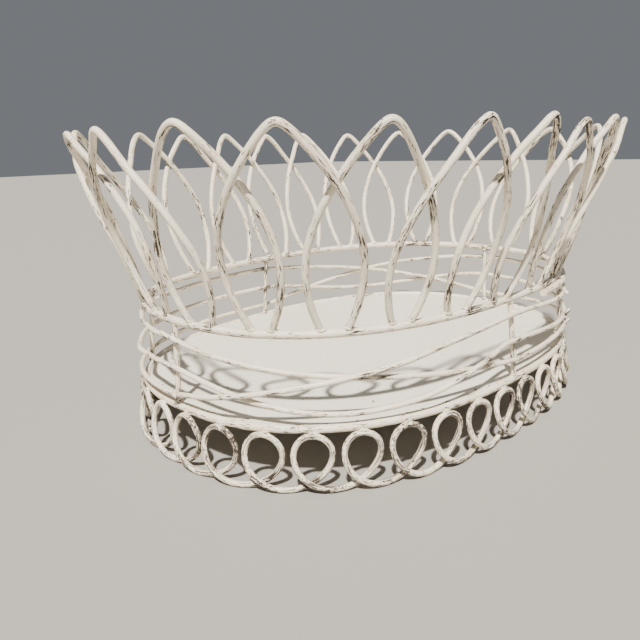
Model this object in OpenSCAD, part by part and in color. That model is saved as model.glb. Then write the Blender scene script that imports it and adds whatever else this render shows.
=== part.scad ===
// Oval wire basket with a flared crown of arches, a banded side, a sheet floor and a looped foot.
// Millimetres, +Z up. The origin is on the table, under the middle of the basket.
// Positions round the basket are fractions of a turn by length along the rim: 0 is the +X end,
// 0.25 the +Y side, 0.5 the -X end and 0.75 the -Y side.

/* [Rims] */
// Length of the base rim, between the centres of its wire
base_l = 330; // [300:5:380]
// Width of the base rim, between the centres of its wire
base_w = 242; // [220:2:270]
// Height of the base rim's centre above the table
base_z = 35; // [30:1:45]
// Length of the upper rim, between the centres of its wire
upper_l = 326; // [300:2:370]
// Width of the upper rim, between the centres of its wire
upper_w = 232; // [220:2:260]
// Height of the upper rim's centre above the table
upper_z = 85.5; // [80:0.5:100]
// How full the ovals are: 2 is an ellipse, more is squarer
fullness = 2.4; // [2:0.1:3]

/* [Crown] */
// How far the crown's tips stand outside the upper rim
crown_flare = 34; // [20:1:45]
// Height of the crown's tips above the table
crown_top = 191.5; // [170:0.5:215]
// Number of arches, each one bent wire
arches = 22; // [18:1:24]

/* [Foot] */
// Number of loops in the looped foot wire
loops = 36; // [30:1:40]
// Height of the loops' tops, at the wire's centre
loop_top = 32.4; // [28:0.2:33]
// How far the foot wire swings to each side of its own advance
loop_swing = 16; // [12:0.2:17]
// How far the foot's lowest points stand outside the base rim
foot_flare = 4.7; // [3:0.1:8]

/* [Wires] */
// Diameter of the base rim's wire
base_d = 4.8; // [4:0.2:6]
// Diameter of the upper rim's wire
upper_d = 4.8; // [4:0.2:6]
// Diameter of the crown arches' wire
arch_d = 4; // [3:0.2:4.4]
// Diameter of the three band wires
band_d = 3.2; // [2.4:0.2:3.6]
// Diameter of the uprights
upright_d = 3.4; // [3:0.2:4]
// Diameter of the looped foot wire
foot_d = 3.5; // [3:0.5:4]

/* [Floor] */
// Thickness of the sheet floor
floor_t = 1; // [0.8:0.1:2]

/* [Hidden] */
sides = 8;
rim_steps = 64;
table_steps = 240;
loop_steps = 12;
arch_steps = 22;

// The uprights' places round the rim.
upright_at = [0, 0.25, 0.405, 0.5, 0.75, 0.85];
// The half width of an arch from its tip to its foot, in arch pitches, as Bezier control values.
arch_spread = [0, 0.41, 0.94, 0.99, 0.68];
// The first arch's place, in arch pitches. The arches then stand closer than even by this fraction
// at the place arch_close_at and opposite it, and wider than even halfway between.
arch_phase = -0.09;
arch_close = 0.116;
arch_close_at = 0.112;
// How far round the rim each arch's tip leans from over its feet's middle, in arch pitches.
arch_sway = [-0.09, 0.07, 0, 0.08, 0.15, 0.03, 0, -0.1, -0.25, 0.1, 0.05,
             -0.1, 0, -0.1, -0.07, 0.07, 0.17, 0, -0.05, 0.1, 0.2, 0.1];
// How far round the rim each arch's feet stand from their even places, in arch pitches.
arch_shift = [-0.03, -0.03, 0.07, 0.03, 0.07, 0.04, -0.06, -0.09, -0.1, -0.03, 0,
              0, -0.08, -0.01, -0.03, 0.02, -0.01, 0, 0, 0, 0, 0];
// How far each arch's tip stays below the crown's highest tips.
arch_drop = [1.5, 0.7, 0.6, 1.8, 0.8, 1.5, 0.7, 1.3, 0, 0, 2.3,
             1.8, 0.8, 2, 2, 1, 0.2, 2.5, 0, 0, 2, 2.5];
// How tightly an arch's tip is rounded: smaller is sharper.
tip_round = 0.065;
// How far an arch steps off the crown's surface where it passes its neighbours.
arch_step = arch_d / 2 + 0.25;
// A wire's end sinks this far into the wire that it is welded to.
weld_sink = 0.4;
// The floor stands this far clear of the rim's wire, and the weld fills it.
floor_gap = 0.1;
// Heights of the three band wires along the +Y side, from the +X end, and along the -Y side, from the
// -X end, as Bezier control values. Round the -X end the wires join these up evenly.
band_back = [[43, 47.5, 59, 68, 71, 76.5], [60, 57.5, 36.5, 38, 56, 59.5], [76.5, 73.5, 68.5, 57.5, 47, 43]];
band_front = [[76.5, 70.5, 64, 60, 53, 48], [59.5, 59.5, 31.5, 33, 65.5, 60], [43, 52, 66, 66, 77, 76.5]];
// Their heights at the sixth upright, on the way round the +X end.
band_right = [48, 55, 71.5];
// A band wire that passes outside another stands this much further out.
band_step = band_d + 0.2;
// The first loop's place, in loops.
loop_phase = 0.42;
// The foot wire's step in and out where a loop crosses itself.
loop_lean = 1.5;
loop_twist = 1.3;

base = [base_l / 2, base_w / 2];
upper = [upper_l / 2, upper_w / 2];
foot_of_arch_z = upper_z + upper_d / 2 - weld_sink;
tip_z = crown_top - arch_d / 2;

// ---- the ovals ----

// The point of an oval in the direction a.
function oval(half, a) =
    let (r = pow(pow(abs(cos(a)) / half[0], fullness) + pow(abs(sin(a)) / half[1], fullness), -1 / fullness))
    [r * cos(a), r * sin(a)];

// The oval's outward direction there.
function outward(half, a) =
    let (p = oval(half, a),
         g = [sign(p[0]) * pow(abs(p[0]), fullness - 1) / pow(half[0], fullness),
              sign(p[1]) * pow(abs(p[1]), fullness - 1) / pow(half[1], fullness)])
    g / norm(g);

function mix(a, b, t) = a * (1 - t) + b * t;

// Direction against length along the oval, as pairs of length and direction.
function oval_lengths(half) =
    [for (i = 0, s = 0; i <= table_steps;
          s = s + norm(oval(half, 360 * (i + 1) / table_steps) - oval(half, 360 * i / table_steps)), i = i + 1)
        [s, 360 * i / table_steps]];

base_lengths = oval_lengths(base);
upper_lengths = oval_lengths(upper);
base_round = base_lengths[table_steps][0];
upper_round = upper_lengths[table_steps][0];

// The direction of the place at the fraction s of a rim's length.
function along(lengths, s) =
    360 * floor(s) + lookup((s - floor(s)) * lengths[table_steps][0], lengths);

// ---- wires ----

function unit(v) = v / norm(v);

// Rings of points round a path. Each ring's first point is on the side of its guide direction.
function tube_points(path, guides, r, closed) =
    let (n = len(path))
    [for (i = [0:n - 1])
        let (before = path[closed ? (i + n - 1) % n : max(i - 1, 0)],
             after = path[closed ? (i + 1) % n : min(i + 1, n - 1)],
             t = unit(after - before),
             s = unit(cross(t, guides[i])),
             u = cross(s, t))
        for (k = [0:sides - 1])
            path[i] + r * (cos(360 * k / sides) * u + sin(360 * k / sides) * s)];

function tube_faces(n, closed) =
    concat(
        [for (i = [0:n - (closed ? 1 : 2)], k = [0:sides - 1])
            let (j = (i + 1) % n, m = (k + 1) % sides)
            [i * sides + k, j * sides + k, j * sides + m, i * sides + m]],
        closed ? [] : [[for (k = [0:sides - 1]) k],
                       [for (k = [0:sides - 1]) n * sides - 1 - k]]);

module wire(path, guides, d, closed = true) {
    polyhedron(tube_points(path, guides, d / 2, closed), tube_faces(len(path), closed));
}

// A straight round rod between two points.
module rod(p, q, d) {
    v = q - p;
    translate(p)
        rotate([0, acos(v[2] / norm(v)), atan2(v[1], v[0])])
            cylinder(h = norm(v), d = d, $fn = 48);
}

module rim(half, z, d) {
    angles = [for (i = [0:rim_steps - 1]) 360 * i / rim_steps];
    wire([for (a = angles) let (p = oval(half, a)) [p[0], p[1], z]], [for (a = angles) [0, 0, 1]], d);
}

// ---- the rims, the floor and the uprights ----

module base_ring() {
    color("ivory") rim(base, base_z, base_d);
}

module upper_ring() {
    color("ivory") rim(upper, upper_z, upper_d);
}

// Sheet metal, set in the base rim with its underside at the middle of the rim's wire.
module floor_plate() {
    inset = base_d / 2 + floor_gap;
    edge = [for (i = [0:rim_steps - 1])
        let (a = 360 * i / rim_steps)
        oval(base, a) - inset * outward(base, a)];
    color("linen")
        translate([0, 0, base_z])
            linear_extrude(floor_t) polygon(edge);
}

module upright(k) {
    a = along(upper_lengths, upright_at[k - 1]);
    p = oval(base, a);
    q = oval(upper, a);
    color("ivory")
        rod([p[0], p[1], base_z + base_d / 2 - weld_sink],
            [q[0], q[1], upper_z - upper_d / 2 + weld_sink], upright_d);
}

// ---- the side band ----

function bezier(values, t) =
    len(values) == 1 ? values[0]
    : bezier([for (i = [0:len(values) - 2]) mix(values[i], values[i + 1], t)], t);

// Rises smoothly from 0 to 1 while s goes from a to b.
function ease(s, a, b) =
    let (t = min(max((s - a) / (b - a), 0), 1))
    t * t * (3 - 2 * t);

// A hump that is 1 between b and c and fades to 0 at a and d.
function hump(t, a, b, c, d) = ease(t, a, b) - ease(t, c, d);

function last(v) = v[len(v) - 1];

// Height of the band wires: the first and last change places along each side, and the middle one
// dips there.
function band_height(k, s) =
    let (back = band_back[k - 1], front = band_front[k - 1])
    s < 0.25 ? bezier(back, 4 * s)
    : s < 0.5 ? mix(last(back), front[0], ease(s, 0.25, 0.5))
    : s < 0.75 ? bezier(front, 4 * s - 2)
    : s < 0.85 ? mix(last(front), band_right[k - 1], ease(s, 0.75, 0.85))
    : mix(band_right[k - 1], back[0], ease(s, 0.85, 1));

// How far out a band wire steps to pass another. The first wire stays against the uprights.
function band_out(k, s) =
    band_step * (k == 1 ? 0
        : k == 2 ? hump(4 * s, 0.03, 0.2, 0.32, 0.5) + hump(4 * s - 2, 0.5, 0.7, 0.82, 0.97)
        : hump(4 * s, 0.28, 0.44, 0.78, 0.95) + hump(4 * s - 2, 0.03, 0.16, 0.56, 0.74));

module band_wire(k) {
    clear = (upright_d + band_d) / 2 - weld_sink / 4;
    places = [for (i = [0:rim_steps - 1]) i / rim_steps];
    path = [for (s = places)
        let (a = along(upper_lengths, s),
             z = band_height(k, s),
             t = (z - base_z) / (upper_z - base_z),
             half = mix(base, upper, t),
             p = oval(half, a) + (clear + band_out(k, s)) * outward(half, a))
        [p[0], p[1], z]];
    color("ivory") wire(path, [for (s = places) [0, 0, 1]], band_d);
}

// ---- the crown ----

// Height up the crown, 1 at the tip and 0 at the foot, at t from tip to foot.
function arch_height(t) =
    1 - (sqrt(t * t + tip_round * tip_round) - tip_round) / (sqrt(1 + tip_round * tip_round) - tip_round);

// Arches step out and in by turns, only where they pass their neighbours.
function arch_out(k, h) = (k % 2 == 0 ? 1 : -1) * arch_step * hump(h, 0.25, 0.6, 0.8, 0.98);

// Place round the rim of the middle of arch k's feet, and the arch pitch there.
function arch_middle(k) =
    let (s = (k - 1 + arch_phase) / arches)
    s - arch_close * sin(720 * (s - arch_close_at)) / (4 * PI);

function arch_pitch(k) =
    (1 - arch_close * cos(720 * ((k - 1 + arch_phase) / arches - arch_close_at))) / arches;

// One wire, bent from its foot on the upper rim to its tip and back down to the rim.
module crown_arch(k) {
    swings = [for (i = [-arch_steps / 2:arch_steps / 2]) let (t = 2 * i / arch_steps) sign(t) * pow(abs(t), 1.25)];
    heights = [for (t = swings) arch_height(abs(t))];
    turn = (k - 1) % len(arch_sway);
    sway = arch_sway[turn];
    shift = arch_shift[turn];
    top = tip_z - arch_drop[turn];
    place = [for (i = [0:len(swings) - 1])
        arch_middle(k) + (sign(swings[i]) * bezier(arch_spread, abs(swings[i])) + mix(shift, sway, heights[i])) * arch_pitch(k)];
    path = [for (i = [0:len(swings) - 1])
        let (a = along(upper_lengths, place[i]),
             h = heights[i],
             p = oval(upper, a) + (crown_flare * h + arch_out(k, h)) * outward(upper, a))
        [p[0], p[1], mix(foot_of_arch_z, top, h)]];
    guides = [for (s = place) let (n = outward(upper, along(upper_lengths, s))) [n[0], n[1], 0]];
    color("ivory") wire(path, guides, arch_d, closed = false);
}

// ---- the foot ----

// One wire, looped over and over round the base rim: it swings back over each loop's top,
// comes down outside itself and runs on along the table.
module foot_scroll() {
    turns = [for (i = [0:loops * loop_steps - 1]) 360 * i / loop_steps];
    reach = (loop_top - foot_d / 2) / 2;
    top_out = sqrt(pow((foot_d + base_d) / 2 - weld_sink / 4, 2) - pow(base_z - loop_top, 2));
    path = [for (t = turns)
        let (s = (t / 360 + loop_phase - 0.5) / loops + loop_swing * sin(t) / base_round,
             a = along(base_lengths, s),
             z = loop_top - reach * (1 + cos(t)),
             out = mix(top_out, foot_flare, (loop_top - z) / (2 * reach)) - loop_lean * sin(t) - loop_twist * sin(2 * t),
             p = oval(base, a) + out * outward(base, a))
        [p[0], p[1], z]];
    guides = [for (t = turns)
        let (n = outward(base, along(base_lengths, (t / 360 + loop_phase - 0.5) / loops))) [n[0], n[1], 0]];
    color("ivory") wire(path, guides, foot_d);
}

// ---- the assembly ----

function arch_name(k) = str("crown_arch_", k < 10 ? "0" : "", k);

floor_plate();
base_ring();
foot_scroll();
upper_ring();
for (k = [1:len(upright_at)]) upright(k);
for (k = [1:3]) band_wire(k);
for (k = [1:arches]) crown_arch(k);
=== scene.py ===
import math

import bpy
import numpy as np
from mathutils import Matrix, Vector, noise


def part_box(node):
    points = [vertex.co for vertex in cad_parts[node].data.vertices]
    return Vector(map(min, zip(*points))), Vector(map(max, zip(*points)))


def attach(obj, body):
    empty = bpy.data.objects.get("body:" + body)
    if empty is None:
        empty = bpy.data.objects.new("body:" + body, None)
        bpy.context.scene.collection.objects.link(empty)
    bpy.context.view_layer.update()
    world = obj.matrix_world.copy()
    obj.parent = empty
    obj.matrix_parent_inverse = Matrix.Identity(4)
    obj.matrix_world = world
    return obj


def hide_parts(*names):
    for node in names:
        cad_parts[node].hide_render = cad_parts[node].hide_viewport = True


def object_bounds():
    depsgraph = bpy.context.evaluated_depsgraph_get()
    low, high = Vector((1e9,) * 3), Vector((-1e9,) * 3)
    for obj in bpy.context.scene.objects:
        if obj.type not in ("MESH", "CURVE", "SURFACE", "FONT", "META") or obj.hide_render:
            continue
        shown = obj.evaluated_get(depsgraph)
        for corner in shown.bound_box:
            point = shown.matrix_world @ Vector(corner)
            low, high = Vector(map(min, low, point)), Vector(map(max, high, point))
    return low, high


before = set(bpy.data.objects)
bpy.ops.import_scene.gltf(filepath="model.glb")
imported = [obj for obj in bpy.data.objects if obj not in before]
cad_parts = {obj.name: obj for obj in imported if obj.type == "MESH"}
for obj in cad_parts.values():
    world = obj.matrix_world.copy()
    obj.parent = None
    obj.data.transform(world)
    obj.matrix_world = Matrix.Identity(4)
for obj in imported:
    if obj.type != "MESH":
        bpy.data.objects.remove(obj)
cad_box = [list(corner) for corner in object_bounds()]
bpy.ops.object.select_all(action="DESELECT")

MM = 0.001


# ---- The base rim ----
# The basket stands on an oval hoop of round steel rod that lies flat, clear of the table. It is
# bent to shape and butt welded. Every wire is brushed cream by hand over a dark ground coat, which
# shows through in streaks on the undersides and in chips round the welds.

FULLNESS = 2.4
STEPS_ROUND = 720
BASE_POINTS = 320
BASE_SWAY = 0.3 * MM
COAT = 0.1 * MM
LUMP_DEPTH = 0.22 * MM
LUMP_SPACING = 6 * MM
SWAY_WAVE = 60 * MM
SWAY_SEED = 7
CREAM = (0.88, 0.80, 0.65)
AGED_CREAM = (0.78, 0.68, 0.52)
BRUSH_MARK = (0.64, 0.54, 0.41)
THIN_CREAM = (0.38, 0.28, 0.19)
DARK_COAT = (0.020, 0.015, 0.012)
BROWN_COAT = (0.070, 0.046, 0.030)


def rim_size(node):
    """A CAD rim's height, its half length and half width between wire centres, and its wire."""
    low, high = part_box(node)
    wire = high.z - low.z
    return (low.z + high.z) / 2, ((high.x - low.x - wire) / 2, (high.y - low.y - wire) / 2), wire


def oval(half, a):
    """The point of an oval in the direction a."""
    c, s = abs(math.cos(a)) / half[0], abs(math.sin(a)) / half[1]
    r = (c ** FULLNESS + s ** FULLNESS) ** (-1 / FULLNESS)
    return Vector((r * math.cos(a), r * math.sin(a), 0))


def outward(half, a):
    """The oval's outward direction there."""
    p = oval(half, a)
    slope = [math.copysign(abs(p[i]) ** (FULLNESS - 1), p[i]) / half[i] ** FULLNESS for i in (0, 1)]
    return Vector((slope[0], slope[1], 0)).normalized()


def lengths_round(half):
    """Length along the oval at even steps of direction."""
    corners = [oval(half, 2 * math.pi * i / STEPS_ROUND) for i in range(STEPS_ROUND + 1)]
    steps = [(b - a).length for a, b in zip(corners, corners[1:])]
    return np.concatenate(([0], np.cumsum(steps)))


def along(lengths, s):
    """The direction of the place that is the fraction s of the way round."""
    turn = math.floor(s)
    place = np.interp((s - turn) * lengths[-1], lengths, np.arange(len(lengths)))
    return 2 * math.pi * (turn + float(place) / STEPS_ROUND)


def mix(a, b, t):
    """The value that is the fraction t of the way from a to b."""
    return a + (b - a) * t


def at_height(p, z):
    """A place in plan, taken to a height."""
    return Vector((p[0], p[1], z))


def node_of(tree, kind, **settings):
    """Adds a node, and sets its properties and its plain input values by name."""
    made = tree.nodes.new(kind)
    for name, value in settings.items():
        if hasattr(made, name):
            setattr(made, name, value)
        else:
            made.inputs[name.replace("_", " ")].default_value = value
    return made


def math_of(tree, operation, *values):
    """A Math node's result, from numbers or sockets."""
    made = tree.nodes.new("ShaderNodeMath")
    made.operation = operation
    for socket, value in zip(made.inputs, values):
        if isinstance(value, (int, float)):
            socket.default_value = value
        else:
            tree.links.new(value, socket)
    return made.outputs[0]


def cloud(tree, vector, scale, detail=2.0, roughness=0.5):
    """A noise pattern over a vector, from 0 to 1."""
    made = node_of(tree, "ShaderNodeTexNoise", Scale=scale, Detail=detail, Roughness=roughness)
    tree.links.new(vector, made.inputs["Vector"])
    return made.outputs["Fac"]


def step_up(tree, value, low, high):
    """Rises smoothly from 0 to 1 while the value goes from low to high."""
    made = tree.nodes.new("ShaderNodeMapRange")
    made.interpolation_type = "SMOOTHSTEP"
    made.inputs["From Min"].default_value = low
    made.inputs["From Max"].default_value = high
    tree.links.new(value, made.inputs["Value"])
    return made.outputs["Result"]


def blend_of(tree, factor, first, second):
    """One colour fading into another. A colour is three numbers or a socket."""
    made = tree.nodes.new("ShaderNodeMix")
    made.data_type = "RGBA"
    tree.links.new(factor, made.inputs[0])
    for socket, colour in ((made.inputs[6], first), (made.inputs[7], second)):
        if isinstance(colour, tuple):
            socket.default_value = (*colour, 1)
        else:
            tree.links.new(colour, socket)
    return made.outputs[2]


def brushed_paint_group():
    """Cream brushed over a dark coat. Wear, from 0 to 1, is how far it is rubbed through."""
    tree = bpy.data.node_groups.new("brushed_paint", "ShaderNodeTree")
    tree.interface.new_socket("Cream", in_out="INPUT", socket_type="NodeSocketColor")
    tree.interface.new_socket("Wear", in_out="INPUT", socket_type="NodeSocketFloat")
    tree.interface.new_socket("Streak", in_out="INPUT", socket_type="NodeSocketFloat")
    tree.interface.new_socket("Colour", in_out="OUTPUT", socket_type="NodeSocketColor")
    tree.interface.new_socket("Roughness", in_out="OUTPUT", socket_type="NodeSocketFloat")
    tree.interface.new_socket("Height", in_out="OUTPUT", socket_type="NodeSocketFloat")
    given = tree.nodes.new("NodeGroupInput")
    result = tree.nodes.new("NodeGroupOutput")
    place = tree.nodes.new("ShaderNodeTexCoord")

    # Streaks follow the wire, because its place changes slowly along it and its normal quickly round it.
    spread = node_of(tree, "ShaderNodeVectorMath", operation="SCALE")
    tree.links.new(place.outputs["Normal"], spread.inputs[0])
    tree.links.new(given.outputs["Streak"], spread.inputs["Scale"])
    slow = node_of(tree, "ShaderNodeVectorMath", operation="SCALE")
    slow.inputs["Scale"].default_value = 150
    tree.links.new(place.outputs["Object"], slow.inputs[0])
    streaks = node_of(tree, "ShaderNodeVectorMath", operation="ADD")
    tree.links.new(spread.outputs[0], streaks.inputs[0])
    tree.links.new(slow.outputs[0], streaks.inputs[1])

    upright = tree.nodes.new("ShaderNodeSeparateXYZ")
    tree.links.new(place.outputs["Normal"], upright.inputs[0])
    under = math_of(tree, "MULTIPLY", upright.outputs["Z"], -0.05)
    patch = math_of(tree, "MULTIPLY_ADD", cloud(tree, place.outputs["Object"], 38), 0.40, -0.20)
    worn = math_of(tree, "MULTIPLY_ADD", given.outputs["Wear"], 0.10, under)
    rub = math_of(tree, "ADD", math_of(tree, "ADD", patch, worn),
                  cloud(tree, streaks.outputs[0], 1.0, 5.0, 0.66))
    specks = math_of(tree, "ADD", math_of(tree, "MULTIPLY_ADD", given.outputs["Wear"], 0.12, patch),
                     cloud(tree, place.outputs["Object"], 800, 2.0, 0.6))
    chips = math_of(tree, "MAXIMUM", step_up(tree, rub, 0.59, 0.61), step_up(tree, specks, 0.70, 0.73))
    thin = math_of(tree, "MULTIPLY", step_up(tree, rub, 0.54, 0.64), 0.5)

    shade = cloud(tree, place.outputs["Object"], 60, 3.0)
    strokes = cloud(tree, streaks.outputs[0], 2.3, 3.0, 0.7)
    marks = math_of(tree, "MULTIPLY", step_up(tree, strokes, 0.52, 0.75), 0.7)
    tint = blend_of(tree, step_up(tree, shade, 0.40, 0.75), given.outputs["Cream"], AGED_CREAM)
    tint = blend_of(tree, marks, tint, BRUSH_MARK)
    tint = blend_of(tree, thin, tint, THIN_CREAM)
    under_coat = blend_of(tree, shade, DARK_COAT, BROWN_COAT)
    tree.links.new(blend_of(tree, chips, tint, under_coat), result.inputs["Colour"])
    gloss = math_of(tree, "MULTIPLY_ADD", strokes, 0.2, 0.36)
    tree.links.new(math_of(tree, "MULTIPLY_ADD", chips, 0.22, gloss), result.inputs["Roughness"])
    ridges = math_of(tree, "MULTIPLY", strokes, 0.6)
    tree.links.new(math_of(tree, "SUBTRACT", ridges, chips), result.inputs["Height"])
    return tree


brushed_paint = brushed_paint_group()


def painted(name, streak):
    """A satin painted metal with the brushed coat. A higher streak puts more brush marks round it."""
    material = bpy.data.materials.new(name)
    material.use_nodes = True
    tree = material.node_tree
    shader = tree.nodes["Principled BSDF"]
    shader.inputs["Specular IOR Level"].default_value = 0.42
    coat = tree.nodes.new("ShaderNodeGroup")
    coat.node_tree = brushed_paint
    coat.inputs["Cream"].default_value = (*CREAM, 1)
    coat.inputs["Streak"].default_value = streak
    wear = node_of(tree, "ShaderNodeAttribute", attribute_name="wear")
    tree.links.new(wear.outputs["Fac"], coat.inputs["Wear"])
    bump = tree.nodes.new("ShaderNodeBump")
    bump.inputs["Distance"].default_value = 0.15 * MM
    bump.inputs["Strength"].default_value = 0.8
    tree.links.new(coat.outputs["Colour"], shader.inputs["Base Color"])
    tree.links.new(coat.outputs["Roughness"], shader.inputs["Roughness"])
    tree.links.new(coat.outputs["Height"], bump.inputs["Height"])
    tree.links.new(bump.outputs["Normal"], shader.inputs["Normal"])
    return material


thick_paint = painted("thick_wire_paint", 2.8)
thin_paint = painted("thin_wire_paint", 2.1)


def bent_wire(name, centreline, diameter, closed):
    """A round wire threaded along its centreline, with the small lumps of a brushed coat."""
    bpy.ops.curve.primitive_nurbs_path_add()
    piece = bpy.context.object
    piece.name = name
    piece.data.dimensions = "3D"
    piece.data.twist_mode = "Z_UP" if closed else "MINIMUM"
    piece.data.bevel_depth = (diameter + COAT) / 2
    piece.data.bevel_resolution = 5
    piece.data.use_fill_caps = not closed
    spline = piece.data.splines[0]
    spline.type = "POLY"
    spline.points.add(len(centreline) - len(spline.points))
    for point, place in zip(spline.points, centreline):
        point.co = (*place, 1)
        point.radius = 1
    spline.use_cyclic_u = closed
    bpy.ops.object.convert(target="MESH")
    lumps = bpy.data.textures.get("lumps") or bpy.data.textures.new("lumps", "CLOUDS")
    lumps.noise_scale = LUMP_SPACING
    skin = piece.modifiers.new("skin", "DISPLACE")
    skin.texture = lumps
    skin.strength = LUMP_DEPTH
    skin.mid_level = 1
    bpy.ops.object.modifier_apply(modifier=skin.name)
    bpy.ops.object.shade_smooth()
    bpy.ops.object.select_all(action="DESELECT")
    return piece


noise.seed_set(SWAY_SEED)


def hand_bent(p, sway, number):
    """Bent wire wanders a little off its true line, in long slow waves."""
    return Vector(p) + sway * noise.noise_vector(Vector(p) / SWAY_WAVE + Vector((0, 0, 7.3 * number)))


base_z, base, base_wire = rim_size("base_ring")
base_lengths = lengths_round(base)
base_line = []
for i in range(BASE_POINTS):
    p = at_height(oval(base, 2 * math.pi * i / BASE_POINTS), base_z)
    base_line.append(hand_bent(p, BASE_SWAY, 1))
base_rim = bent_wire("base_rim_wire", base_line, base_wire, closed=True)
base_rim.data.materials.append(thick_paint)
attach(base_rim, "root")
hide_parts("base_ring")


# ---- The looped foot ----
# One long wire wound into a row of loops and bent round under the base rim. The basket stands on
# the loops' low strands, and each loop's top is tacked to the rim from below and outside.

LOOPS = 36
LOOP_STEPS = 30
LOOP_TOP = 32.4 * MM
LOOP_SWING = 16 * MM
LOOP_FLARE = 4.7 * MM
LOOP_PHASE = 0.42
LOOP_LEAN = 1.5 * MM
LOOP_TWIST = 1.3 * MM
LOOP_SWAY = 0.5 * MM
foot_wire = 3.5 * MM
welds = []
tack_gap = (foot_wire + base_wire) / 2 - 0.1 * MM
top_out = math.sqrt(tack_gap ** 2 - (base_z - LOOP_TOP) ** 2)


def foot_place(turns):
    """The foot wire's place after so many loops, counted from a loop's lowest point."""
    t = 2 * math.pi * turns
    reach = (LOOP_TOP - foot_wire / 2) / 2
    z = LOOP_TOP - reach * (1 + math.cos(t))
    a = along(base_lengths, (turns + LOOP_PHASE - 0.5) / LOOPS + LOOP_SWING * math.sin(t) / base_lengths[-1])
    out = mix(top_out, LOOP_FLARE, (LOOP_TOP - z) / (2 * reach))
    out -= LOOP_LEAN * math.sin(t) + LOOP_TWIST * math.sin(2 * t)
    return at_height(oval(base, a) + out * outward(base, a), z)


def weld(place, reach, wear=0.7):
    """Notes a weld or a rubbed place, so that the paint near it is more worn."""
    welds.append((Vector(place), reach, wear))


foot_line = []
for i in range(LOOPS * LOOP_STEPS):
    p = foot_place(i / LOOP_STEPS)
    foot_line.append(at_height(hand_bent(p, LOOP_SWAY, 2), p.z))
for k in range(LOOPS):
    weld(foot_place(k + 0.5), 4.5 * MM)
foot = bent_wire("foot_loop_wire", foot_line, foot_wire, closed=True)
foot.data.materials.append(thick_paint)
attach(foot, "root")
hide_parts("foot_scroll")


# ---- The floor ----
# A sheet of steel cut to the oval, let into the base rim and welded round its edge. It is a little
# dished and hammered along the edge where it was knocked into place, and painted like the wires.

floor_low, floor_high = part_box("floor_plate")
SHEET_ACROSS = 120
SHEET_DEEP = 88
SHEET_INSET = 0.3 * MM
SHEET_ROUND = 0.3 * MM
WORN_EDGE = 0.06
SHEET_CREAM = (0.88, 0.83, 0.73)
SHEET_SHADE = (0.83, 0.775, 0.67)
SHEET_MARK = (0.68, 0.63, 0.55)
SHEET_CHIP = (0.10, 0.08, 0.065)
bpy.ops.mesh.primitive_grid_add(x_subdivisions=SHEET_ACROSS, y_subdivisions=SHEET_DEEP, size=2)
sheet = bpy.context.object
sheet.name = "floor_sheet"
for v in sheet.data.vertices:
    u, w = v.co.x, v.co.y
    disc = Vector((u * math.sqrt(1 - w * w / 2), w * math.sqrt(1 - u * u / 2), 0))
    a = math.atan2(disc.y, disc.x)
    edge = oval(base, a) - (base_wire / 2 - SHEET_INSET) * outward(base, a)
    p = edge * disc.length
    knocked = max(0, (disc.length - 0.9) / 0.1) ** 2
    wave = 0.45 * noise.noise(p / (16 * MM)) * knocked + 0.35 * noise.noise(p / (75 * MM))
    v.co = at_height(p, floor_high.z + wave * MM)
thickness = sheet.modifiers.new("thickness", "SOLIDIFY")
thickness.thickness = floor_high.z - floor_low.z
thickness.offset = -1
bpy.ops.object.modifier_apply(modifier=thickness.name)
softened = sheet.modifiers.new("softened", "BEVEL")
softened.width = SHEET_ROUND
softened.segments = 2
bpy.ops.object.modifier_apply(modifier=softened.name)
bpy.ops.object.shade_smooth_by_angle(angle=math.radians(40))
bpy.ops.object.select_all(action="DESELECT")


def sheet_paint():
    """Smooth satin cream with faint brush marks, fine dark specks and worn spots near the edge."""
    material = bpy.data.materials.new("sheet_paint")
    material.use_nodes = True
    tree = material.node_tree
    shader = tree.nodes["Principled BSDF"]
    shader.inputs["Specular IOR Level"].default_value = 0.42
    place = tree.nodes.new("ShaderNodeTexCoord").outputs["Object"]
    lengthwise = node_of(tree, "ShaderNodeMapping", Scale=(25, 260, 100))
    tree.links.new(place, lengthwise.inputs["Vector"])
    strokes = cloud(tree, lengthwise.outputs["Vector"], 1.0, 4.0, 0.6)
    clouds = cloud(tree, place, 16, 4.0)
    specks = math_of(tree, "ADD", cloud(tree, place, 620, 2.0, 0.6),
                     math_of(tree, "MULTIPLY_ADD", cloud(tree, place, 30), 0.3, -0.15))
    wear = node_of(tree, "ShaderNodeAttribute", attribute_name="wear")
    rub = math_of(tree, "MULTIPLY_ADD", wear.outputs["Fac"], 0.16, cloud(tree, place, 210, 3.0, 0.6))
    chips = math_of(tree, "MAXIMUM", step_up(tree, specks, 0.76, 0.79), step_up(tree, rub, 0.70, 0.74))
    marks = math_of(tree, "MULTIPLY", step_up(tree, strokes, 0.5, 0.8), 0.5)
    tint = blend_of(tree, step_up(tree, clouds, 0.35, 0.7), SHEET_CREAM, SHEET_SHADE)
    tint = blend_of(tree, marks, tint, SHEET_MARK)
    tree.links.new(blend_of(tree, chips, tint, SHEET_CHIP), shader.inputs["Base Color"])
    tree.links.new(math_of(tree, "MULTIPLY_ADD", strokes, 0.25, 0.33), shader.inputs["Roughness"])
    bump = tree.nodes.new("ShaderNodeBump")
    bump.inputs["Distance"].default_value = 0.12 * MM
    bump.inputs["Strength"].default_value = 0.6
    tree.links.new(math_of(tree, "SUBTRACT", strokes, chips), bump.inputs["Height"])
    tree.links.new(bump.outputs["Normal"], shader.inputs["Normal"])
    return material


sheet.data.materials.append(sheet_paint())
sheet_wear = sheet.data.attributes.new("wear", "FLOAT", "POINT")
for v, value in zip(sheet.data.vertices, sheet_wear.data):
    a = math.atan2(v.co.y, v.co.x)
    inside = 1 - Vector(v.co.xy).length / oval(base, a).length
    value.value = max(0, 1 - inside / WORN_EDGE)
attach(sheet, "root")
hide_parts("floor_plate")


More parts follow.
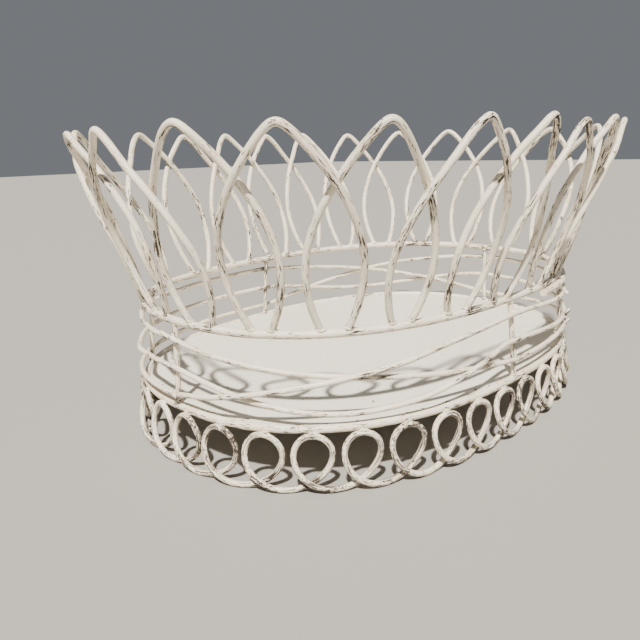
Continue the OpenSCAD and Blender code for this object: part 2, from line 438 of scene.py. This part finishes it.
# ---- The upper rim ----
# Two lengths of rod as thick as the base rim's, bent to a slightly smaller oval. They are lapped and
# tacked at both ends of the basket. The front length's snipped ends run on straight past the laps.

upper_z, upper, upper_wire = rim_size("upper_ring")
upper_lengths = lengths_round(upper)
RIM_STEPS = 200
RIM_SWAY = 0.3 * MM
FRONT_SPAN = (0.463, 0.836)
BACK_SPAN = (0.792, 1.466)
RIGHT_LAP_OUT = 3.6 * MM
RIGHT_LAP_DROP = 3.2 * MM
LEFT_LAP_IN = 4.5 * MM
LEFT_LAP_DROP = 1.4 * MM
RIGHT_LAP = (0.835, 0.895)
LEFT_LAP = (1.40, 1.455)
WORN_LAPS = (0.455, 0.475, 0.80, 0.845)


def upper_place(s, out=0, up=0):
    """A place along the upper rim's centre, or a little way off it."""
    a = along(upper_lengths, s)
    return at_height(oval(upper, a) + out * outward(upper, a), upper_z + up)


def run_on(line, count, step):
    """Carries a line on straight past its last point."""
    ahead = (line[-1] - line[-2]).normalized()
    return line + [line[-1] + ahead * step * (i + 1) for i in range(count)]


def ease(s, start, end):
    """Rises smoothly from 0 to 1 while s goes from start to end."""
    t = min(max((s - start) / (end - start), 0), 1)
    return t * t * (3 - 2 * t)


front_line = []
back_line = []
for i in range(RIM_STEPS + 1):
    front_line.append(hand_bent(upper_place(mix(*FRONT_SPAN, i / RIM_STEPS)), RIM_SWAY, 3))
    s = mix(*BACK_SPAN, i / RIM_STEPS)
    right = 1 - ease(s, *RIGHT_LAP)
    left = ease(s, *LEFT_LAP)
    out = RIGHT_LAP_OUT * right - LEFT_LAP_IN * left
    drop = RIGHT_LAP_DROP * right + LEFT_LAP_DROP * left
    back_line.append(hand_bent(upper_place(s, out, -drop), RIM_SWAY, 3))
front_line = run_on(front_line, 5, 1.6 * MM)
front_line = run_on(front_line[::-1], 5, 2.2 * MM)
front_rim = bent_wire("upper_rim_front", front_line, upper_wire, closed=False)
upper_rim = bent_wire("upper_rim_wire", back_line, upper_wire, closed=False)
front_rim.select_set(True)
upper_rim.select_set(True)
bpy.context.view_layer.objects.active = upper_rim
bpy.ops.object.join()
bpy.ops.object.select_all(action="DESELECT")
upper_rim.data.materials.append(thick_paint)
for s in WORN_LAPS:
    weld(upper_place(s), 8 * MM, 0.9)
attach(upper_rim, "root")
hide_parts("upper_ring")


# ---- The six uprights ----
# Six short straight steel rods stand between the rims. Each is cut to length, leans in a little
# towards the smaller upper rim, and is tacked to both.

UPRIGHTS = (0, 0.25, 0.405, 0.5, 0.75, 0.85)
UPRIGHT_STEPS = 24
WELD_SINK = 0.4 * MM
upright_wire = 3.4 * MM
uprights = []
for number, s in enumerate(UPRIGHTS, start=1):
    a = along(upper_lengths, s)
    foot_end = at_height(oval(base, a), base_z + base_wire / 2 - WELD_SINK)
    head_end = at_height(oval(upper, a), upper_z - upper_wire / 2 + WELD_SINK)
    line = [mix(foot_end, head_end, i / UPRIGHT_STEPS) for i in range(UPRIGHT_STEPS + 1)]
    weld(foot_end, 5 * MM)
    weld(head_end, 5 * MM)
    piece = bent_wire(f"upright_{number}_rod", line, upright_wire, closed=False)
    piece.data.materials.append(thin_paint)
    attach(piece, "root")
    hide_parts(f"upright_{number}")
    uprights.append(piece)


# ---- The three band wires ----
# Thin wires bent round outside the uprights and tacked to each one. Along each side the top and the
# bottom wire change places and the middle one dips between them.

BAND_BACK = ((43, 47.5, 59, 68, 71, 76.5), (60, 57.5, 36.5, 38, 56, 59.5), (76.5, 73.5, 68.5, 57.5, 47, 43))
BAND_FRONT = ((76.5, 70.5, 64, 60, 53, 48), (59.5, 59.5, 31.5, 33, 65.5, 60), (43, 52, 66, 66, 77, 76.5))
BAND_RIGHT = (48, 55, 71.5)
BAND_STEPS = 360
band_diameter = 3.2 * MM
BAND_CLEAR = 3.2 * MM
BAND_PASS = 3.4 * MM
BAND_SWAY = 0.4 * MM
END_PULL = 1.5 * MM
END_KINK = 1.8 * MM
KINK_AT = 0.452
KINK_RUN = 0.018


def hump(s, start, full, fade, end):
    """Rises from start to full and falls again from fade to end."""
    return ease(s, start, full) - ease(s, fade, end)


def bezier(values, t):
    """A Bezier curve's value, from its control values."""
    while len(values) > 1:
        values = [mix(a, b, t) for a, b in zip(values, values[1:])]
    return values[0]


def band_height(k, s):
    """A band wire's height: worked along each side, and eased round the ends of the basket."""
    back, front = BAND_BACK[k - 1], BAND_FRONT[k - 1]
    if s < 0.25:
        return bezier(back, 4 * s) * MM
    if s < 0.5:
        return mix(back[-1], front[0], ease(s, 0.25, 0.5)) * MM
    if s < 0.75:
        return bezier(front, 4 * s - 2) * MM
    if s < 0.85:
        return mix(front[-1], BAND_RIGHT[k - 1], ease(s, 0.75, 0.85)) * MM
    return mix(BAND_RIGHT[k - 1], back[0], ease(s, 0.85, 1)) * MM


def band_out(k, s):
    """How far a band wire steps out to pass another. At the left end one cuts in and one kinks out."""
    if k == 1:
        return -END_PULL * hump(s, 0.41, 0.44, 0.46, 0.49)
    if k == 2:
        kink = END_KINK * max(0, 1 - abs(s - KINK_AT) / KINK_RUN)
        return kink + BAND_PASS * (hump(4 * s, 0.03, 0.2, 0.32, 0.5) + hump(4 * s - 2, 0.5, 0.7, 0.82, 0.97))
    return BAND_PASS * (hump(4 * s, 0.28, 0.44, 0.78, 0.95) + hump(4 * s - 2, 0.03, 0.16, 0.56, 0.74))


def band_place(k, s):
    """The place of a band wire's centre, the fraction s of the way round."""
    z = band_height(k, s)
    t = (z - base_z) / (upper_z - base_z)
    half = (mix(base[0], upper[0], t), mix(base[1], upper[1], t))
    a = along(upper_lengths, s)
    return at_height(oval(half, a) + (BAND_CLEAR + band_out(k, s)) * outward(half, a), z)


for k in (1, 2, 3):
    for s in UPRIGHTS:
        weld(band_place(k, s), 5 * MM, 0.9)
weld(band_place(1, 0.41), 9 * MM, 1.3)
band_wires = []
for k in (1, 2, 3):
    line = [hand_bent(band_place(k, i / BAND_STEPS), BAND_SWAY, 3 + k) for i in range(BAND_STEPS)]
    piece = bent_wire(f"band_wire_{k}_rod", line, band_diameter, closed=True)
    piece.data.materials.append(thin_paint)
    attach(piece, "root")
    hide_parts(f"band_wire_{k}")
    band_wires.append(piece)


# ---- The crown of arches ----
# Each arch is one rod bent to a point and flared outwards, with its two feet set on the upper rim
# well past its neighbours' feet. The arches lie outside and inside each other by turns.

ARCHES = 22
ARCH_STEPS = 88
ARCH_SPREAD = (0, 0.41, 0.94, 0.99, 0.68)
ARCH_PHASE = -0.09
ARCH_CLOSE = 0.116
ARCH_CLOSE_AT = 0.112
ARCH_SWAY = (-0.09, 0.07, 0, 0.08, 0.15, 0.03, 0, -0.1, -0.25, 0.1, 0.05,
             -0.1, 0, -0.1, -0.07, 0.07, 0.17, 0, -0.05, 0.1, 0.2, 0.1)
ARCH_SHIFT = (-0.03, -0.03, 0.07, 0.03, 0.07, 0.04, -0.06, -0.09, -0.1, -0.03, 0,
              0, -0.08, -0.01, -0.03, 0.02, -0.01, 0, 0, 0, 0, 0)
ARCH_DROP = (1.5, 0.7, 0.6, 1.8, 0.8, 1.5, 0.7, 1.3, 0, 0, 2.3, 1.8, 0.8, 2, 2, 1, 0.2, 2.5, 0, 0, 2, 2.5)
ARCH_SWAY_BY_HAND = 0.5 * MM
WORN_TIPS = (17, 18, 19, 20)
CROWN_FLARE = 34 * MM
TIP_ROUND = 0.065
arch_wire = 4 * MM
ARCH_PASS = arch_wire / 2 + 0.25 * MM
foot_z = upper_z + upper_wire / 2 - WELD_SINK
tip_z = cad_box[1][2] - arch_wire / 2
crown_reach = [side - arch_wire / 2 - 0.06 * MM for side in cad_box[1][:2]]


def arch_middle(k):
    """The place round the rim of the middle of an arch's feet, and the arch pitch there."""
    s = (k - 1 + ARCH_PHASE) / ARCHES
    turn = 4 * math.pi * (s - ARCH_CLOSE_AT)
    return s - ARCH_CLOSE * math.sin(turn) / (4 * math.pi), (1 - ARCH_CLOSE * math.cos(turn)) / ARCHES


def arch_place(k, t):
    """The centre of an arch's rod, for t from -1 at one foot through 0 at the tip to 1."""
    m = abs(t) ** 1.25
    h = 1 - (math.hypot(m, TIP_ROUND) - TIP_ROUND) / (math.hypot(1, TIP_ROUND) - TIP_ROUND)
    middle, pitch = arch_middle(k)
    lean = mix(ARCH_SHIFT[k - 1], ARCH_SWAY[k - 1], h)
    a = along(upper_lengths, middle + (math.copysign(bezier(ARCH_SPREAD, m), t) + lean) * pitch)
    side = ARCH_PASS * hump(h, 0.25, 0.6, 0.8, 0.98) * (1 if k % 2 == 0 else -1)
    z = mix(foot_z, tip_z - ARCH_DROP[k - 1] * MM, h)
    return at_height(oval(upper, a) + (CROWN_FLARE * h + side) * outward(upper, a), z)


arch_feet = []
for k in range(1, ARCHES + 1):
    for t in (-1, 1):
        arch_feet.append((arch_place(k, t), arch_place(k, 0.9 * t)))
        weld(arch_place(k, t), 4.5 * MM)
for k in WORN_TIPS:
    weld(arch_place(k, 0.02), 12 * MM, 0.8)
arches = []
for k in range(1, ARCHES + 1):
    line = []
    for i in range(ARCH_STEPS + 1):
        t = 2 * i / ARCH_STEPS - 1
        p = arch_place(k, t)
        q = hand_bent(p, ARCH_SWAY_BY_HAND * (1 - t * t), 10 + k)
        q = [min(max(here, -most), most) for here, most in zip(q, crown_reach)]
        line.append(at_height(q, p.z))
    piece = bent_wire(f"crown_arch_{k:02d}_rod", line, arch_wire, closed=False)
    piece.data.materials.append(thin_paint)
    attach(piece, "root")
    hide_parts(f"crown_arch_{k:02d}")
    arches.append(piece)


# ---- The weld beads ----
# Small lumps of weld metal where the rods meet, painted over with the rest. They sit in the angle
# of each joint, a little uneven, with the odd larger one on the band wires.

bpy.ops.mesh.primitive_ico_sphere_add(subdivisions=2, radius=1)
lump = bpy.context.object
lump.name = "weld_lump"
bpy.ops.object.mode_set(mode="EDIT")
bpy.ops.transform.vertex_random(offset=0.06, seed=4)
bpy.ops.mesh.vertices_smooth(factor=0.5, repeat=1)
bpy.ops.object.mode_set(mode="OBJECT")
bpy.ops.object.shade_smooth()
bpy.ops.object.select_all(action="DESELECT")


def run_of_beads(name, beads):
    """Copies of the lump, each turned to its joint and squashed to its own size, as one piece."""
    for number, (place, out, size) in enumerate(beads):
        copy = lump.copy()
        copy.data = lump.data.copy()
        bpy.context.collection.objects.link(copy)
        out = Vector(out).normalized()
        across = out.cross(Vector((0, 0, 1)))
        across = across.normalized() if across.length > 0.1 else Vector((1, 0, 0))
        up = across.cross(out)
        turn = Matrix((across, out, up)).transposed()
        spin = Matrix.Rotation(2.4 * number, 3, "Z")
        swell = 1 + 0.3 * noise.noise(Vector(place) / (9 * MM))
        grow = Matrix.Diagonal([swell * x for x in size])
        for v in copy.data.vertices:
            v.co = Vector(place) + turn @ (grow @ (spin @ v.co))
        copy.select_set(True)
        bpy.context.view_layer.objects.active = copy
    bpy.ops.object.join()
    piece = bpy.context.object
    piece.name = name
    piece.data.materials.append(thin_paint)
    bpy.ops.object.select_all(action="DESELECT")
    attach(piece, "root")
    return piece


def size_mm(across, out, up):
    """A lump's half sizes, from millimetres."""
    return (across * MM, out * MM, up * MM)


arch_beads = []
for foot_end, above in arch_feet:
    a = math.atan2(foot_end.y, foot_end.x)
    lean = (above - foot_end).normalized()
    arch_beads.append((foot_end + 0.3 * MM * lean, outward(upper, a), size_mm(3.5, 2.6, 1.6)))
upright_beads = []
band_beads = []
for s in UPRIGHTS:
    a = along(upper_lengths, s)
    out = outward(upper, a)
    upright_beads.append((at_height(oval(base, a), base_z + base_wire / 2), out, size_mm(3.0, 2.5, 1.5)))
    upright_beads.append((at_height(oval(upper, a), upper_z - upper_wire / 2), out, size_mm(3.0, 2.5, 1.5)))
    for k in (1, 2, 3):
        joint = band_place(k, s) - 1.4 * MM * out
        band_beads.append((joint, out, size_mm(2.7, 1.6, 2.3)))
foot_beads = []
for k in range(LOOPS):
    top = foot_place(k + 0.5)
    a = math.atan2(top.y, top.x)
    touch = mix(top, at_height(oval(base, a), base_z), 0.45)
    foot_beads.append((touch, outward(base, a), size_mm(3.4, 1.6, 1.3)))
bead_runs = [
    run_of_beads("arch_weld_beads", arch_beads),
    run_of_beads("upright_weld_beads", upright_beads),
    run_of_beads("band_weld_beads", band_beads),
    run_of_beads("foot_weld_beads", foot_beads),
]
bpy.data.objects.remove(lump)


# ---- The cut ends of the band wires ----
# Each band wire is really two lengths that meet at an upright at each end of the basket. Their
# snipped ends run on a few millimetres past the weld.

# Each is the wire, its place round the rim, the way round that the wire goes on, and the end's
# millimetres.
LEFT_ENDS = ((1, 0.5, 1, 6), (2, 0.5, 1, 5), (3, 0.5, -1, 6))
RIGHT_ENDS = ((1, 0.85, -1, 6), (2, 0.85, -1, 7), (3, 0.85, 1, 5))
SNIP_WIRE = 2.6 * MM
snips = []
for k, s, way, run in LEFT_ENDS + RIGHT_ENDS:
    here = band_place(k, s)
    line_way = (band_place(k, s + 0.004 * way) - here).normalized()
    out = outward(upper, along(upper_lengths, s))
    heading = (-1 * line_way + 0.35 * out + Vector((0, 0, 0.35))).normalized()
    start = here + 0.8 * MM * out
    line = [start + heading * (run * MM * i / 8) for i in range(9)]
    end = "front" if s == 0.5 else "right"
    piece = bent_wire(f"band_{k}_cut_end_{end}", line, SNIP_WIRE, closed=False)
    piece.data.materials.append(thin_paint)
    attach(piece, "root")
    snips.append(piece)


# ---- The worn places ----
# The coat is rubbed thin wherever the basket was welded, and the looped foot, which is handled and
# stood on, is worn all over. The foot's extra wear is partly real chipping and partly painted shade:
# it darkens the whole foot for the shadow under the basket. Each wire gets its wear once every weld is
# known.

# Least wear all over the foot: real chipping, and painted shade darkening the foot for the shadow under the
# basket.
FOOT_WEAR_AND_SHADE = 0.75


def wear_near_welds(piece, least=0.0):
    """A wear value for each point: high beside a weld and the least away from it."""
    wear = piece.data.attributes.new("wear", "FLOAT", "POINT")
    points = np.array([v.co for v in piece.data.vertices])
    worn = np.full(len(points), least)
    for place, reach, most in welds:
        gap = np.linalg.norm(points - np.array(place), axis=1)
        worn = np.maximum(worn, most * np.clip(1.3 - gap / reach, 0, 1))
    wear.data.foreach_set("value", worn.astype(np.float32))


for piece in [base_rim, upper_rim] + uprights + band_wires + arches + bead_runs + snips:
    wear_near_welds(piece)
# Painted shade: the foot's raised wear darkens it all over for the shadow under the basket.
wear_near_welds(foot, FOOT_WEAR_AND_SHADE)


# ---- The floor it stands on, the lights and the camera ----
# A plain pale studio floor, one soft high light from in front, and a gentle fill. The camera looks
# down a little at the front left.

bpy.ops.mesh.primitive_plane_add(size=12)
ground = bpy.context.object
ground.name = "studio_floor"
pale = bpy.data.materials.new("studio_grey")
pale.use_nodes = True
floor_shader = pale.node_tree.nodes["Principled BSDF"]
floor_shader.inputs["Base Color"].default_value = (0.34, 0.325, 0.30, 1)
floor_shader.inputs["Roughness"].default_value = 0.9
ground.data.materials.append(pale)

world = bpy.data.worlds.new("studio")
bpy.context.scene.world = world
world.use_nodes = True
sky = world.node_tree.nodes["Background"]
sky.inputs["Color"].default_value = (0.88, 0.93, 1.0, 1)
sky.inputs["Strength"].default_value = 0.20


def studio_light(kind, name, place, power, colour):
    """A light that faces the basket from a place."""
    bpy.ops.object.light_add(type=kind, location=place)
    lamp = bpy.context.object
    lamp.name = name
    lamp.data.energy = power
    lamp.data.color = colour
    aim = Vector((0, 0, 0.09)) - Vector(place)
    lamp.rotation_euler = aim.to_track_quat("-Z", "Y").to_euler()
    return lamp.data


CAMERA_TURN = math.radians(-44.13)
CAMERA_DOWN = math.radians(15.37)
CAMERA_ROLL = math.radians(-1.61)
CAMERA_AT = (-0.3395, -0.2991, 0.1762)
view_turn = Matrix.Rotation(CAMERA_TURN, 3, "Z")
key_place = view_turn @ Vector((-0.19, -1.09, 1.6))
studio_light("SUN", "key_light", key_place, 9.5, (1, 0.95, 0.865)).angle = math.radians(2.5)
fill_place = view_turn @ Vector((1.2, -1.3, 1.0))
studio_light("AREA", "fill_light", fill_place, 2, (0.92, 0.96, 1)).size = 1.6

bpy.ops.object.camera_add(location=CAMERA_AT)
camera = bpy.context.object
camera.name = "view_camera"
turn = view_turn @ Matrix.Rotation(math.pi / 2 - CAMERA_DOWN, 3, "X") @ Matrix.Rotation(CAMERA_ROLL, 3, "Z")
camera.rotation_euler = turn.to_euler()
camera.data.lens = 35.03
camera.data.sensor_width = 36
camera.data.clip_start = 0.01
bpy.context.scene.camera = camera
bpy.ops.object.select_all(action="DESELECT")
